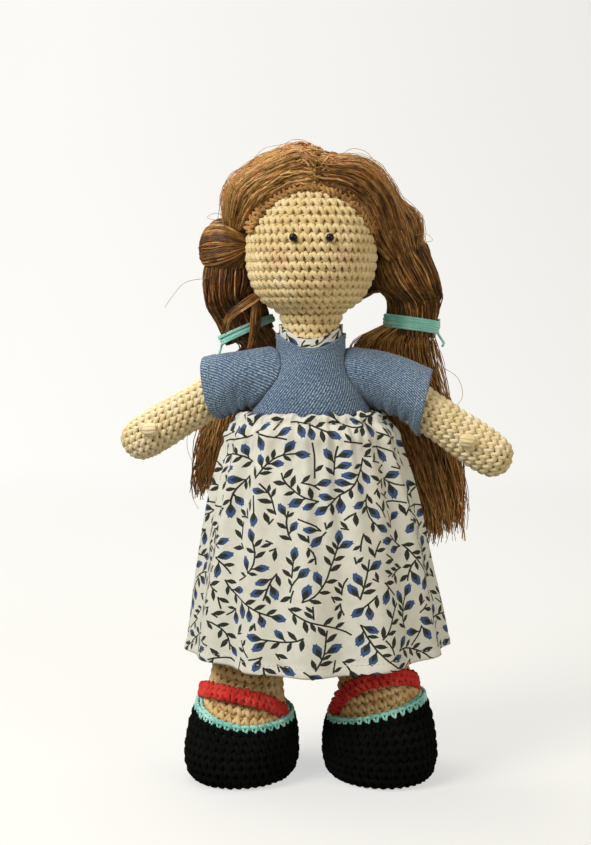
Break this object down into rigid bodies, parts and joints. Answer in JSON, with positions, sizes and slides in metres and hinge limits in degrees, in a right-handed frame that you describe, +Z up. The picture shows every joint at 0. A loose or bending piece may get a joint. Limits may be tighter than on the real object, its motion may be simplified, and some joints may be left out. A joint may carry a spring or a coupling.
{
  "type": "crocheted doll",
  "caption": "Standing crocheted cloth doll with pigtails, a short-sleeved dress with a gathered skirt, and shoes with ankle straps; head, arms, pigtails and legs move.",
  "frame": {"origin": "on the ground, in the middle of the doll's outline seen from above", "axes": "+Z up from the soles to the crown, the face towards -Y, the doll's own left arm towards +X"},
  "size_m": [0.1916, 0.0974, 0.3002],
  "materials": {
    "crochet_cream": "cotton yarn in single crochet",
    "crochet_tan": "cotton yarn in single crochet",
    "fibre_filling": "loose polyester fibre",
    "beech": "turned, plain",
    "bead": "glossy black",
    "hair_yarn": "combed brown yarn",
    "cap_yarn": "dark brown yarn in single crochet",
    "mint_yarn": "mercerised cotton yarn",
    "denim": "washed denim twill",
    "floral_cotton": "printed plain-weave cotton",
    "button": "satin white",
    "card": "plain board",
    "shoe_yarn": "black cotton yarn in single crochet",
    "strap_yarn": "red cotton yarn in single crochet"
  },
  "bodies": {
    "torso": {"body_cover": "crochet_cream", "body_stuffing": "fibre_filling", "bodice": "denim", "neck_facing": "floral_cotton", "upper_button": "button", "lower_button": "button", "left_sleeve": "denim", "right_sleeve": "denim", "skirt": "floral_cotton"},
    "head": {"head_cover": "crochet_cream", "head_stuffing": "fibre_filling", "neck_dowel": "beech", "left_eye": "bead", "right_eye": "bead", "hair_cap": "cap_yarn", "left_hair_side": "hair_yarn", "right_hair_side": "hair_yarn", "left_hair_tie": "mint_yarn", "right_hair_tie": "mint_yarn"},
    "left_tail": {"left_tail": "hair_yarn"},
    "right_tail": {"right_tail": "hair_yarn"},
    "left_arm": {"left_arm_cover": "crochet_cream", "left_arm_stuffing": "fibre_filling", "left_thumb": "crochet_cream"},
    "right_arm": {"right_arm_cover": "crochet_cream", "right_arm_stuffing": "fibre_filling", "right_thumb": "crochet_cream"},
    "legs": {"left_leg_cover": "crochet_tan", "left_leg_stuffing": "fibre_filling", "left_insole": "card", "left_shoe": "shoe_yarn", "left_shoe_edging": "mint_yarn", "left_ankle_strap": "strap_yarn", "right_leg_cover": "crochet_tan", "right_leg_stuffing": "fibre_filling", "right_insole": "card", "right_shoe": "shoe_yarn", "right_shoe_edging": "mint_yarn", "right_ankle_strap": "strap_yarn"}
  },
  "joints": [
    {"name": "head_turn", "type": "hinge", "parent": "torso", "child": "head", "pos_m": [0, 0, 0.2025], "axis": [0, 0, 1], "range_deg": [-8, 8]},
    {"name": "left_shoulder", "type": "hinge", "parent": "torso", "child": "left_arm", "pos_m": [0.029, 0, 0.1917], "axis": [-0.1045, -0.9945, 0], "range_deg": [-15, 30], "deforming": ["left_sleeve"]},
    {"name": "right_shoulder", "type": "hinge", "parent": "torso", "child": "right_arm", "pos_m": [-0.029, 0, 0.1917], "axis": [0.342, 0.9397, 0], "range_deg": [-15, 30], "deforming": ["right_sleeve"]},
    {"name": "left_tail_swing", "type": "hinge", "parent": "head", "child": "left_tail", "pos_m": [0.04829, 0.0165, 0.20861], "axis": [0, -1, 0], "range_deg": [0, 25]},
    {"name": "right_tail_swing", "type": "hinge", "parent": "head", "child": "right_tail", "pos_m": [-0.02925, 0.0165, 0.20827], "axis": [0, 1, 0], "range_deg": [0, 16]},
    {"name": "hips_fold", "type": "hinge", "parent": "torso", "child": "legs", "pos_m": [0, 0, 0.138], "axis": [-1, 0, 0], "range_deg": [0, 80], "deforming": ["skirt"]}
  ]
}
